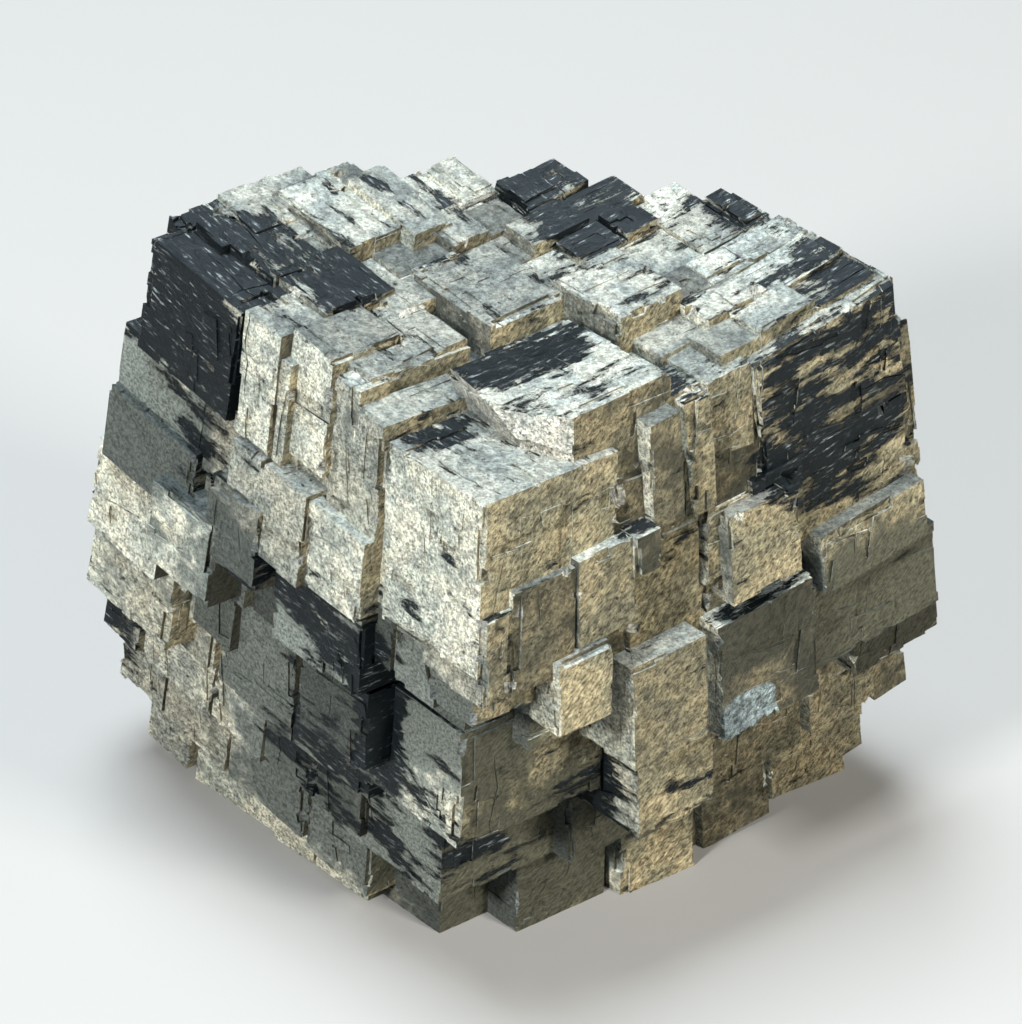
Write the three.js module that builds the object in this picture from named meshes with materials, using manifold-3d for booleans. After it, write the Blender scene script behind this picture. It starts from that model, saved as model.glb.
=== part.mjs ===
// A dark calcite crystal: one rhombohedron whose faces are broken into stepped, slightly turned bricks.
// Millimetres, +Z up, resting on its flat base, origin at the middle of the bottom of its box.
import * as THREE from 'three';
import { mergeVertices } from 'three/addons/utils/BufferGeometryUtils.js';
import { ConvexGeometry } from 'three/addons/geometries/ConvexGeometry.js';
import Module from 'manifold-3d';

// Driving dimensions, in millimetres and degrees
const FACE_ANGLE = 101.9;      // obtuse corner of a calcite cleavage face
const FRONT_TURN = 6.2;        // how far the front corner is turned to the left of -Y
const REACH_A = 26.9;          // from the front corner to the far end of the left flank, at the top
const REACH_B = 27;            // from the front corner to the far end of the right flank, at the top
const FRONT_HEIGHT = 32.2;     // the front top corner above the base
const BEND_RADIUS = 115;       // the lattice curls up away from the front corner
const TAPER_START = 10;        // depth below the top where the flanks begin to draw in
const LEFT_TAPER = 0.2;        // how far the left flank draws in for each millimetre of depth
const RIGHT_TAPER = 0.3;       // the same for the right flank
const FLARE = 0.18;            // the far ends and the back stand out by this for each millimetre of depth
const FLARE_START = 8;         // from here
const FLARE_DEPTH = 22;        // down to here
const BACK_TAPER = 0.2;        // and draw in by this below
const BRICK_DEPTH = 6;         // how far a facing brick reaches into the crystal
const CRACK = 0.12;            // open crack between neighbouring bricks
const FRONT_GRAIN = 4.4;       // usual width of a brick on the front flanks
const BACK_GRAIN = 5.4;        // the same at the back
const WOBBLE = 0.7;            // each brick is turned by up to this many degrees
const CORNER_TAPER = 0.16;     // how far the front corner is cut off below, for each millimetre of depth
const TOP_ROUNDNESS = 2.25;    // the back's outline at the top is nearly a quarter of an ellipse
const LOW_ROUNDNESS = 3;       // lower down it is squarer
const ROUNDING_DEPTH = 12;     // where the squarer outline is reached
const BACK_SHARE = 0.86;       // each back flank is faced along this share of the reach
const FRONT_TOP = -1.5;        // the first course of the front flanks starts here, under the top bricks
const BACK_TOP = 0.3;          // the first course of the back starts here
const HEART_INSET = 1;         // the inside lies this far behind the faces
const HEART_CUT = 4.5;         // and leaves this much of the front corner to the named bricks
const BELOW_BASE = 4;          // bricks are laid down to this far below the base, where they are cut off
const LAST_BRICK = 1;          // no brick is started in less room than this
const COURSE_HEIGHT = [0.6, 1.1];      // as a share of the grain
const BRICK_WIDTH = [0.6, 1.3];        // as a share of the grain
const COURSE_START = [0.3, 0.9];       // room before the first brick of a course
const SETTLING = [0, 1];               // how far a brick hangs below its course
const START = 0.4;                     // courses begin this far from the front corner above the taper
const LEFT_LOW_START = 8;              // and this far below it, beside the named bricks
const RIGHT_LOW_START = 4.2;           // the same on the right flank, beside the insets
const RIGHT_FOOT_START = 9.5;          // and beside the toe
const TOE_DEPTH = 16;                  // from here down
const BACK_START = 1;                  // courses of the back begin this far behind the front faces
const BACK_MEETING = 0.6;              // a brick of the back ends on the outline at this share of its width
const UPPER_RECESS = [0.15, 0.7];      // how far plain bricks lie behind the upper faces
const LOWER_RECESS = [-0.1, 0.25];     // and behind the lower ones
const BACK_UNEVENNESS = [-0.8, 0.4];   // how far a brick of the back stands out
const FIELD_DEPTH = [1.8, 3.6];        // rows of small bricks on the top
const FIELD_WIDTH = [2, 4.4];
const FIELD_UNEVENNESS = [-0.35, 0.35];
const FIELD_FRONT = -1.2;              // the rows start this far under the front corner
const FIELD_RISE = 2.4;                // and rise by this much
const FIELD_RISE_RUN = 16;             // over this distance
const FIELD_RISE_POWER = 1.5;          // slowly at first
const FIELD_START = 1;                 // behind the front faces
const FIELD_MEETING = 0.7;             // a row ends on the outline at this share of its depth
const SEED = 41;

// The lattice: a runs back to the left, b back to the right, c up along the leaning edge
const toRadians = THREE.MathUtils.degToRad;
const UP = new THREE.Vector3(0, 0, 1);
const middle = new THREE.Vector3(0, 1, 0).applyAxisAngle(UP, -toRadians(FRONT_TURN));
const edgeA = middle.clone().applyAxisAngle(UP, toRadians(FACE_ANGLE / 2));
const edgeB = middle.clone().applyAxisAngle(UP, -toRadians(FACE_ANGLE / 2));
const lean = -Math.cos(toRadians(FACE_ANGLE)) / Math.cos(toRadians(FACE_ANGLE / 2));
const edgeC = middle.clone().multiplyScalar(lean).addScaledVector(UP, Math.sqrt(1 - lean * lean));

// The same sequence of numbers from 0 to 1 on every run
let randomState = SEED;
function random() {
  randomState = (randomState * 1664525 + 1013904223) % 4294967296;
  return randomState / 4294967296;
}

function between([low, high]) {
  return low + (high - low) * random();
}

// How the curled lattice is turned at a place on its top
function turnAt(a, b) {
  const axis = edgeA.clone().cross(UP).multiplyScalar(a / BEND_RADIUS);
  axis.addScaledVector(edgeB.clone().cross(UP), b / BEND_RADIUS);
  const angle = axis.length();
  return new THREE.Quaternion().setFromAxisAngle(angle > 0 ? axis.normalize() : UP, angle);
}

// Where a lattice place lies in the crystal's frame, measured from the front top corner
function placeAt(a, b, c) {
  const lift = (a * a + b * b) / (2 * BEND_RADIUS);
  const place = edgeC.clone().multiplyScalar(c).applyQuaternion(turnAt(a, b));
  return place.addScaledVector(edgeA, a).addScaledVector(edgeB, b).addScaledVector(UP, lift);
}

// One oblique brick from its front top corner and its size along the lattice
function brick(corner, size, extraTurn = [0, 0, 0]) {
  const geometry = new THREE.BoxGeometry(1, 1, 1).translate(0.5, 0.5, -0.5);
  const shear = new THREE.Matrix4().makeBasis(
    edgeB.clone().multiplyScalar(size[1]),
    edgeA.clone().multiplyScalar(size[0]),
    edgeC.clone().multiplyScalar(size[2]),
  );
  const wobble = extraTurn.map((angle) => toRadians(angle + between([-WOBBLE, WOBBLE])));
  geometry.applyMatrix4(shear);
  geometry.applyQuaternion(new THREE.Quaternion().setFromEuler(new THREE.Euler(...wobble)));
  geometry.applyQuaternion(turnAt(corner[0], corner[1]));
  const place = placeAt(...corner);
  return geometry.translate(place.x, place.y, place.z);
}

// One broken block between the corners of its top and of its foot
function brokenBlock({ rim, foot }) {
  return new ConvexGeometry([...rim, ...foot].map((corner) => placeAt(...corner)));
}

// How far a flank has drawn in at a depth
function drawnIn(c, taper) {
  return Math.max(0, -c - TAPER_START) * taper;
}

// Bricks of the top, from the front corner backwards: corner, size, and an own turn where one shows
const TOP_BRICKS = [
  { name: 'keystone', corner: [0, 0, 0], size: [7.4, 8.5, 10] },
  { name: 'first shelf', corner: [7.8, 0, 0.45], size: [2.2, 5.8, 8] },
  { name: 'second shelf', corner: [9.9, 0.1, 1.3], size: [1.8, 2, 8] },
  { name: 'pale slab', corner: [10.2, 1.2, 1.5], size: [4.6, 6.3, 6] },
  { name: 'left step', corner: [12.1, 0.2, 1.9], size: [3.2, 4.5, 7] },
  { name: 'low wedge', corner: [14.6, -0.3, 0.3], size: [1.3, 1.4, 6] },
  { name: 'split post', corner: [15.4, -0.5, 1.65], size: [2.8, 3, 7.2] },
  { name: 'dark shoulder', corner: [18.6, -0.4, 1.1], size: [7.4, 6, 6.7] },
  { name: 'shoulder step', corner: [19.7, 2.4, 1.5], size: [5.5, 3.5, 5] },
  { name: 'dark slab', corner: [15.5, 2.45, 1.85], size: [4.5, 4.4, 6] },
  { name: 'rim plate', corner: [21.9, 4.2, 1.3], size: [5, 5.6, 5] },
  { name: 'rim step', corner: [19.1, 6.9, 1.9], size: [4, 4.2, 5] },
  { name: 'tilted plate', corner: [18, 10.3, 2], size: [5.6, 2.4, 5], turn: [0, 3, 0] },
  { name: 'valley step', corner: [9.8, 8.5, 1.9], size: [6, 5, 6] },
  { name: 'blue slab', corner: [5.6, 13.3, 2.4], size: [5, 4.2, 5] },
  { name: 'short column', corner: [-0.3, 10.2, 0.45], size: [1.7, 2, 6.2], turn: [2, -1, 0] },
  { name: 'tall column', corner: [0, 12.9, 0.25], size: [2.2, 1.5, 7], turn: [3, -1, 0] },
  { name: 'right step', corner: [0.3, 14.6, 0.6], size: [3.6, 2.7, 6], turn: [4, -1, 0] },
  { name: 'right plateau', corner: [0, 17.3, 0.4], size: [8, 9.6, 12], turn: [5, -1.5, 0] },
  { name: 'right upper step', corner: [3.3, 19.9, 0.9], size: [8, 6, 5], turn: [5, -1.5, 0] },
];

// Broken blocks that don't follow the lattice: the corners of their tops, and how deep they reach
const BROKEN_BLOCKS = [
  {
    name: 'lintel',
    rim: [[0.7, 6.1, 2.2], [0.7, 12.6, 2.1], [8.6, 12.4, 1.3], [9, 5, 1.3], [4.8, 4.2, 1.8]],
    foot: [[0.7, 6.1, -3], [0.7, 12.6, -3], [8.6, 12.4, -3], [9, 6.4, -3], [6, 6.1, -3]],
  },
];

// Bricks of the left flank
const LEFT_BRICKS = [
  { name: 'left ledge', corner: [7.8, -0.6, -6.1], size: [4.4, 5, 4.9] },
  { name: 'long ledge', corner: [12.1, -0.7, -5.9], size: [6, 5, 5.5] },
  { name: 'lower ledge', corner: [15, -0.9, -8.6], size: [4, 5, 5] },
  { name: 'far ledge', corner: [17.7, -1.1, -11.4], size: [5, 5, 5] },
  { name: 'shoulder band', corner: [20.8, 0.1, -5.4], size: [6.8, 5, 4.4] },
  { name: 'shoulder foot', corner: [20.5, -0.3, -9], size: [7.2, 5, 4.5] },
  { name: 'left end', corner: [22.3, 0, -13.2], size: [5.8, 6, 5.4] },
  { name: 'left low end', corner: [22, 0.9, -18.4], size: [6.8, 6, 5] },
  { name: 'left wall', corner: [7.9, -0.2, -11.1], size: [7, 7, 4.6] },
  { name: 'left wall foot', corner: [8, 0.5, -15.6], size: [5.4, 7, 5] },
];

// Bricks of the right flank and of the hollow under the keystone
const RIGHT_BRICKS = [
  { name: 'ledge end', corner: [-0.5, 0, -6.5], size: [5, 1.8, 5] },
  { name: 'ledge', corner: [-0.4, 1.7, -5.5], size: [5, 3.9, 6] },
  { name: 'ledge rise', corner: [-0.5, 5.5, -5.2], size: [5, 3.8, 5] },
  { name: 'ledge stub', corner: [-0.9, 8.8, -5.1], size: [3, 1.5, 2.4] },
  { name: 'right block', corner: [-0.6, 14.7, -7], size: [6, 4.5, 5.2] },
  { name: 'small boss', corner: [-0.9, 4, -10.4], size: [4, 3.4, 4.2] },
  { name: 'slanted boss', corner: [-0.6, 8.6, -13], size: [5, 4.8, 6] },
  { name: 'right lower block', corner: [-0.4, 13.8, -13.2], size: [5, 6.5, 7] },
  { name: 'pale strip', corner: [-0.35, 20.3, -11.4], size: [6, 7, 3.4] },
  { name: 'right corner block', corner: [0.2, 19.8, -14.6], size: [6, 8.4, 5] },
  { name: 'shoulder back', corner: [0.6, 23.5, -2.4], size: [8, 4.2, 9] },
  { name: 'right end', corner: [1, 24, -9.4], size: [7, 3.8, 6] },
  { name: 'right low end', corner: [2, 23.4, -17.4], size: [7, 5.8, 6] },
  { name: 'right foot end', corner: [6.8, 22.6, -23], size: [7, 6.6, 6] },
  { name: 'upper inset', corner: [3.2, 2.2, -12.6], size: [8, 8, 6] },
  { name: 'lower inset', corner: [3.2, 2.0, -15.9], size: [9, 10, 7] },
  { name: 'toe', corner: [6.4, 3.8, -22.4], size: [9, 10, 7] },
  { name: 'sole', corner: [8.4, 5.6, -27.5], size: [9, 10, 8] },
  { name: 'right sole', corner: [6.6, 8.2, -27], size: [8, 6, 8] },
  { name: 'right toe', corner: [5.9, 13.2, -27.5], size: [8, 5, 8] },
  { name: 'foot block', corner: [0.8, 9.9, -18.8], size: [6, 5, 6] },
];

// The inside that carries every brick
function heart() {
  const points = [];
  for (const c of [FRONT_TOP, -TAPER_START, -FLARE_DEPTH, -FRONT_HEIGHT - BELOW_BASE]) {
    const nearA = HEART_INSET + drawnIn(c, RIGHT_TAPER);
    const nearB = HEART_INSET + drawnIn(c, LEFT_TAPER);
    const cut = HEART_CUT + drawnIn(c, CORNER_TAPER);
    const farA = farEdge(0, c, REACH_A, REACH_B) - HEART_INSET;
    const farB = farEdge(0, c, REACH_B, REACH_A) - HEART_INSET;
    const corner = 0.5 ** (1 / roundness(c));
    const corners = [[nearA + cut, nearB], [farA, nearB], [corner * farA, corner * farB]];
    corners.push([nearA, farB], [nearA, nearB + cut]);
    for (const [a, b] of corners) points.push(placeAt(a, b, c));
  }
  return new ConvexGeometry(points);
}

// The exponent of the back's outline at a depth
function roundness(depth) {
  const share = THREE.MathUtils.clamp(-depth / ROUNDING_DEPTH, 0, 1);
  return THREE.MathUtils.lerp(TOP_ROUNDNESS, LOW_ROUNDNESS, share);
}

// How far the crystal reaches along one edge for a place along the other
function farEdge(across, depth, reach, reachAcross) {
  const below = Math.max(0, -depth - FLARE_DEPTH);
  const flared = THREE.MathUtils.clamp(-depth, FLARE_START, FLARE_DEPTH) - FLARE_START;
  const flare = FLARE * flared - BACK_TAPER * below;
  const share = Math.min(1, across / (reachAcross + flare));
  return (reach + flare) * (1 - share ** roundness(depth)) ** (1 / roundness(depth));
}

// How much wider apart the curled lattice stands at a depth
function fanOut(depth) {
  return 1 - depth * edgeC.z / BEND_RADIUS;
}

// Courses of bricks on one flank, from the top down: side gives a brick's corner and size
function flank(firstDepth, grain, lowEnd, highEnd, side) {
  const bricks = [];
  let depth = firstDepth;
  while (depth > -FRONT_HEIGHT - BELOW_BASE) {
    const height = grain * between(COURSE_HEIGHT);
    let along = lowEnd(depth) + between(COURSE_START);
    while (along < highEnd(depth) - LAST_BRICK) {
      const width = Math.min(grain * between(BRICK_WIDTH), highEnd(depth) - along);
      const fanned = width * fanOut(depth) - CRACK;
      const { corner, size } = side(along, depth - between(SETTLING), fanned, height - CRACK);
      bricks.push(brick(corner, size));
      along += width;
    }
    depth -= height;
  }
  return bricks;
}

// How far a brick of the front flanks lies behind the face, more where named bricks stand before it
function recess(depth, taper) {
  return drawnIn(depth, taper) + between(depth > -TAPER_START ? UPPER_RECESS : LOWER_RECESS);
}

// Where the courses of the front flanks begin: the named bricks stand at the front corner
function leftStart(depth) {
  return depth > -TAPER_START ? START : LEFT_LOW_START + drawnIn(depth, CORNER_TAPER);
}

function rightStart(depth) {
  const besideNamed = depth > -TOE_DEPTH ? RIGHT_LOW_START : RIGHT_FOOT_START;
  return depth > -TAPER_START ? START : besideNamed;
}

function leftSide(along, depth, width, height) {
  const behind = recess(depth - height / 2, LEFT_TAPER);
  return { corner: [along, behind, depth], size: [width, BRICK_DEPTH, height] };
}

function rightSide(along, depth, width, height) {
  const behind = recess(depth - height / 2, RIGHT_TAPER);
  return { corner: [behind, along, depth], size: [BRICK_DEPTH, width, height] };
}

// Where the courses of the back begin: behind the front flanks' faces
function backLeftStart(depth) {
  return BACK_START + drawnIn(depth - BACK_GRAIN / 2, LEFT_TAPER);
}

function backRightStart(depth) {
  return BACK_START + drawnIn(depth - BACK_GRAIN / 2, RIGHT_TAPER);
}

function backLeftSide(along, depth, width, height) {
  const end = farEdge(along + BACK_MEETING * width, depth, REACH_A, REACH_B) + between(BACK_UNEVENNESS);
  return { corner: [end - BRICK_DEPTH, along, depth], size: [BRICK_DEPTH, width, height] };
}

function backRightSide(along, depth, width, height) {
  const end = farEdge(along + BACK_MEETING * width, depth, REACH_B, REACH_A) + between(BACK_UNEVENNESS);
  return { corner: [along, end - BRICK_DEPTH, depth], size: [width, BRICK_DEPTH, height] };
}

// The field of smaller bricks that the named ones of the top stand in
function topField() {
  const bricks = [];
  let a = FIELD_START;
  while (a < REACH_A - LAST_BRICK) {
    const depth = Math.min(between(FIELD_DEPTH), REACH_A - a);
    const limit = farEdge(a + FIELD_MEETING * depth, 0, REACH_B, REACH_A);
    let b = FIELD_START + between(SETTLING);
    while (b < limit - LAST_BRICK) {
      const width = Math.min(between(FIELD_WIDTH), limit - b);
      const rise = Math.min(1, Math.hypot(a, b) / FIELD_RISE_RUN) ** FIELD_RISE_POWER;
      const c = FIELD_FRONT + FIELD_RISE * rise + between(FIELD_UNEVENNESS);
      bricks.push(brick([a, b, c], [depth - CRACK, width - CRACK, BRICK_DEPTH]));
      b += width;
    }
    a += depth;
  }
  return bricks;
}

const wasm = await Module();
wasm.setup();

function solidOf(geometry) {
  geometry.deleteAttribute('normal');
  geometry.deleteAttribute('uv');
  const merged = mergeVertices(geometry, 1e-4);
  return new wasm.Manifold(new wasm.Mesh({
    numProp: 3,
    vertProperties: new Float32Array(merged.attributes.position.array),
    triVerts: new Uint32Array(merged.index.array),
  }));
}

// Joins pairs of neighbours until one solid is left
function joined(solids) {
  let layer = solids;
  while (layer.length > 1) {
    const next = [];
    for (let i = 0; i < layer.length; i += 2) {
      next.push(i + 1 < layer.length ? layer[i].add(layer[i + 1]) : layer[i]);
    }
    layer = next;
  }
  return layer[0];
}

// The triangles of the outer skin alone, so that no hollow is left sealed inside the crystal
function outerSkin(triangles, vertexCount) {
  const leader = Array.from({ length: vertexCount }, (_, i) => i);
  const leaderOf = (vertex) => {
    let found = vertex;
    while (leader[found] !== found) found = leader[found];
    leader[vertex] = found;
    return found;
  };
  for (let i = 0; i < triangles.length; i += 3) {
    leader[leaderOf(triangles[i + 1])] = leaderOf(triangles[i]);
    leader[leaderOf(triangles[i + 2])] = leaderOf(triangles[i]);
  }
  const sizes = new Map();
  for (const vertex of triangles) sizes.set(leaderOf(vertex), (sizes.get(leaderOf(vertex)) ?? 0) + 1);
  const [skin] = [...sizes].reduce((most, entry) => (entry[1] > most[1] ? entry : most));
  return triangles.filter((_, i) => leaderOf(triangles[i - (i % 3)]) === skin);
}

// The space above the surface that the crystal rests on
function aboveBase() {
  const span = 4 * FRONT_HEIGHT;
  return new THREE.BoxGeometry(span, span, span).translate(0, 0, span / 2 - FRONT_HEIGHT);
}

function crystalGeometry() {
  const named = [...TOP_BRICKS, ...LEFT_BRICKS, ...RIGHT_BRICKS];
  const bricks = [
    heart(),
    ...named.map(({ corner, size, turn }) => brick(corner, size, turn)),
    ...BROKEN_BLOCKS.map(brokenBlock),
    ...topField(),
    ...flank(FRONT_TOP, FRONT_GRAIN, leftStart, (c) => farEdge(0, c, REACH_A, REACH_B), leftSide),
    ...flank(FRONT_TOP, FRONT_GRAIN, rightStart, (c) => farEdge(0, c, REACH_B, REACH_A), rightSide),
    ...flank(BACK_TOP, BACK_GRAIN, backLeftStart, () => BACK_SHARE * REACH_B, backLeftSide),
    ...flank(BACK_TOP, BACK_GRAIN, backRightStart, () => BACK_SHARE * REACH_A, backRightSide),
  ];
  const solid = joined(bricks.map(solidOf)).intersect(solidOf(aboveBase()));
  const { vertProperties, triVerts } = solid.getMesh();
  const geometry = new THREE.BufferGeometry();
  geometry.setAttribute('position', new THREE.BufferAttribute(vertProperties, 3));
  geometry.setIndex(new THREE.BufferAttribute(outerSkin(triVerts, vertProperties.length / 3), 1));
  geometry.computeBoundingBox();
  const { min, max } = geometry.boundingBox;
  return geometry.translate(-(min.x + max.x) / 2, -(min.y + max.y) / 2, FRONT_HEIGHT);
}

const calciteMaterial = new THREE.MeshStandardMaterial({ color: 0x5d615e, roughness: 0.42, metalness: 0 });

const specimen = new THREE.Group();
const crystal = new THREE.Mesh(crystalGeometry(), calciteMaterial);
crystal.name = 'calcite_crystal';
specimen.add(crystal);

export default specimen;
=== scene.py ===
"""The looks of a dark calcite crystal: stepped faces, chipped edges and a pale film over black glass.

Shapes are worked out in millimetres and turned into metres when the finished piece is made.
"""
import math

import bmesh
import bpy
import numpy as np
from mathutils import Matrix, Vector, noise
from mathutils.bvhtree import BVHTree


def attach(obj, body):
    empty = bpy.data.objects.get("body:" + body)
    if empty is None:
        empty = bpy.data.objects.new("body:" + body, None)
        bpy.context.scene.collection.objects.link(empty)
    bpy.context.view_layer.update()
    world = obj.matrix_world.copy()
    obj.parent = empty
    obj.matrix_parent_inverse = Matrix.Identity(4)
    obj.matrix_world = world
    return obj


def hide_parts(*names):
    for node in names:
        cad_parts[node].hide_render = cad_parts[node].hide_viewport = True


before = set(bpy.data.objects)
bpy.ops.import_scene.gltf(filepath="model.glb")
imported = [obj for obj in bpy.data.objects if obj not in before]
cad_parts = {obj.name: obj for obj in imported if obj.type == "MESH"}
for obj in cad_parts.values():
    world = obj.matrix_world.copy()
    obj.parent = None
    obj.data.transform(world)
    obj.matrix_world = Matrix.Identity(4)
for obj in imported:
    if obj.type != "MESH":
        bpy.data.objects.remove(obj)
bpy.context.view_layer.update()

NODE = "calcite_crystal"
MM = 0.001
SEED = 7

# The crystal's lattice, as in the solid: a runs back to the left, b back to the right, c up
FACE_ANGLE = math.radians(101.9)
FRONT_TURN = math.radians(6.2)
FRONT_HEIGHT = 32.2
BEND_RADIUS = 115.0
CURL_ROUNDS = 10         # of taking the curl out of a place
CORNER_TOLERANCE = 0.01

# How much fine relief the cleavage faces carry: pieces for each square millimetre of open face
PLATES_PER_MM2 = 0.05
PITS_PER_MM2 = 0.07
CRACKS_PER_MM2 = 0.035
# The same for each millimetre of outward edge
STEPS_PER_MM = 0.2
CHIPS_PER_MM = 0.16
OPEN_VIEW = 5.0          # a face is open where nothing stands this close before it
SMALLEST_FACET = 1.5     # square millimetres
NOTCH_CHANCE = 0.4       # for each corner of a plate or pit
LONGEST_EDGE = 0.7       # of the finished mesh
NARROWEST = 0.25         # a triangle lower than this isn't split further

# The fine relief's sizes in millimetres, each the least and the most of a seeded draw
PLATE_LENGTH, PLATE_WIDTH, PLATE_HEIGHT = (1.2, 5), (0.3, 1.2), (0.03, 0.1)
PIT_LENGTH, PIT_WIDTH, PIT_DEPTH = (1, 5), (0.25, 1.1), (0.03, 0.13)
CRACK_LENGTH, CRACK_WIDTH, CRACK_DEPTH = (1.5, 6), (0.03, 0.08), (0.25, 0.6)
STEP_LENGTH, STEP_REACH, STEP_DEPTH = (0.8, 4.5), (0.12, 0.6), (0.04, 0.26)
CHIP_LENGTH, CHIP_WIDTH, CHIP_DEPTH = (0.25, 1.2), (0.5, 1), (0.03, 0.15)
PLATE_ROOT = -0.3        # how deep a plate is set into its face
PIT_CLEARANCE, CRACK_CLEARANCE, STEP_CLEARANCE, CHIP_CLEARANCE = 0.04, 0.05, 0.1, 0.8
NOTCH_SHARE = (0.12, 0.42)
OUTLINE_WOBBLE = 0.12    # of an outline's shorter side
CHIP_TILT = 0.45
CRACK_STATIONS = 6
CRACK_BEND = 0.045       # of the crack's length, at each station
CRACK_TIP = 0.006
SHORTEST_EDGE = 0.6      # that is broken
SHARP_COSINE = 0.7       # an edge is sharp where its faces meet at less than this cosine
FLAT_COSINE = 0.9998     # two triangles are one facet where they meet at more than this cosine
LOWEST_BREAK = 1.0       # no edge is broken lower than this
RESTING_HEIGHT = 0.1     # faces below this that look down are what it rests on
DOWNWARD = -0.9
FACET_TOLERANCE = 0.02
RAY_START = 0.05
EDGE_SHARE = (0.05, 0.95)
RESTING_BAND = 0.02      # points lower than this stay where they are
LEAST_HEIGHT = 0.01      # of every other point
# The roughness of the faces: how often it turns in a millimetre, and its height in millimetres
ROUGHNESS = ((0.35, 0.05), (1.7, 0.022), (5.0, 0.011))

# Markings: where the pale film has worn off to black glass, and where it is dull grey; the dark wall patch
# is painted shade, black on the wall's side in the shade of the keystone.
# Each patch is a middle place and half sizes along a, b and c, in millimetres, and a strength.
BARE_AND_SHADE_PATCHES = [
    ("left shoulder", (22.6, 0.6, -2.2), (4.6, 3.0, 4.6), 0.55),
    ("dark slab", (18.2, 5.0, 1.8), (3.0, 2.3, 0.9), 0.33),
    ("rim beside it", (22.4, 4.4, 1.4), (2.2, 1.5, 0.9), 0.36),
    ("lintel", (7.4, 8.6, 1.6), (2.2, 3.4, 0.9), 0.42),
    ("keystone back", (6.6, 3.2, -0.2), (1.3, 2.2, 0.6), 0.38),
    ("back rim", (17.6, 18.9, 1.2), (2.2, 2.8, 1.2), 0.36),
    ("right back rim", (10.6, 25.0, 1.2), (2.2, 1.8, 1.0), 0.34),
    ("right rim", (3.2, 24.6, 0.9), (2.2, 2.2, 0.9), 0.36),
    ("valley streaks", (14.0, 18.4, 1.0), (2.6, 2.4, 1.0), 0.34),
    ("right shoulder", (0.3, 22.6, -4.6), (2.0, 5.0, 5.4), 0.27),
    ("shoulder foot", (0.2, 19.4, -6.4), (1.6, 3.0, 2.6), 0.36),
    ("under the left shoulder", (20.4, 0.2, -9.4), (2.4, 1.6, 2.0), 0.3),
    ("left low edge", (28.0, 4.0, -25.0), (1.6, 3.0, 6.0), 0.45),
    ("left wall", (11.6, 0.8, -20.0), (4.4, 3.0, 3.6), 0.24),
    ("left wall top", (12.0, 0.2, -12.6), (5.0, 1.6, 1.6), 0.26),
    # Painted shade: the wall's side under the overhanging keystone is painted black
    ("dark wall", (8.0, 1.6, -17.0), (0.9, 2.2, 6.0), 0.6),
    ("left low", (13.0, 3.0, -24.6), (4.4, 3.0, 4.4), 0.3),
    ("toe", (5.6, 4.4, -24.0), (2.4, 3.0, 4.0), 0.3),
    ("front low", (5.4, 10.0, -23.0), (3.4, 3.0, 2.4), 0.38),
    ("back left", (27.0, 14.0, -14.0), (3.0, 6.0, 7.0), 0.4),
    ("back right", (14.0, 27.0, -18.0), (6.0, 3.0, 8.0), 0.4),
]
DULL_PATCHES = [
    ("band under the left shoulder", (23.8, 0.4, -9.6), (4.0, 2.0, 3.2), 0.8),
    ("lower left", (13.0, 1.6, -18.0), (7.6, 4.0, 7.0), 0.7),
    ("left foot", (13.5, 3.0, -26.0), (6.0, 4.0, 6.0), 0.7),
    ("left ledge end", (17.6, -0.6, -12.6), (2.2, 1.4, 2.6), 0.3),
    ("left low flank", (23.0, 0.6, -17.0), (5.0, 2.4, 5.0), 0.22),
    ("under the keystone", (4.6, 2.6, -15.4), (3.6, 3.4, 4.6), 0.75),
    ("toe and sole", (6.4, 8.0, -27.0), (4.6, 7.0, 6.0), 0.75),
    ("right lower corner", (1.4, 23.4, -17.4), (3.0, 5.0, 4.6), 0.7),
    ("right lower block", (-0.2, 16.4, -14.6), (1.6, 2.8, 1.8), 0.7),
    ("ledge rise", (-0.5, 7.4, -6.2), (1.4, 2.4, 1.4), 0.25),
    ("back", (24.0, 24.0, -18.0), (9.0, 9.0, 10.0), 0.4),
]
COOL_PATCHES = [
    ("blue patch", (-0.4, 15.4, -19.6), (1.0, 1.6, 1.8), 1.0),
]
# The film's colour on faces across a, b and c, partly its own tarnish and partly painted light: the faces
# across a are painted darker and warmer as the shaded side under the warm right light, and the tops are
# painted cooler as under the sky light. Then the colour on freshly broken chips, kept pale partly as a
# painted edge highlight.
FAMILY_TARNISH_AND_SIDE_LIGHT = np.array([(0.42, 0.37, 0.24), (0.88, 0.88, 0.75), (0.84, 0.92, 0.90)])
# How strongly the grain and its painted glints show on faces across a, b and c
FAMILY_SPECKLE_AND_GLINTS = np.array([1.0, 0.9, 0.55])
FAMILY_BARE = np.array([0.06, 0.0, 0.34])
# Dullness by face family, partly painted light: the tops are kept pale as if lit from above, and the faces
# across a are greyer as the shaded side
FAMILY_DULL_AND_SIDE_LIGHT = np.array([0.16, 0.0, -0.5])
# Chip colour: partly fresh broken calcite, partly a painted highlight standing in for light caught on the
# chipped edges
CHIP_FILM_AND_EDGE_HIGHLIGHT = np.array([0.74, 0.75, 0.70])
SQUARE_FACE = 0.93       # below this cosine to the lattice a face is a chip
FILM_VARIATION = 0.22
FACET_VARIATION = 0.12
STROKE_SLANT = math.radians(-40)
GRAIN_HEIGHT = 0.35
PATCH_POWER = 4          # the higher, the squarer a patch
PATCH_REACH, PATCH_FALL = 1.2, 2.2
# Chips keep more of their pale film: partly fresh breaks, partly painted edge highlight
CHIP_WEAR_AND_HIGHLIGHT = -0.15
# The material's colours and finish
# The black glass colour also paints the shade on the dark wall's side
GLASS_AND_SHADE, SCRATCH = (0.004, 0.007, 0.009, 1), (0.24, 0.27, 0.28, 1)
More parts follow.
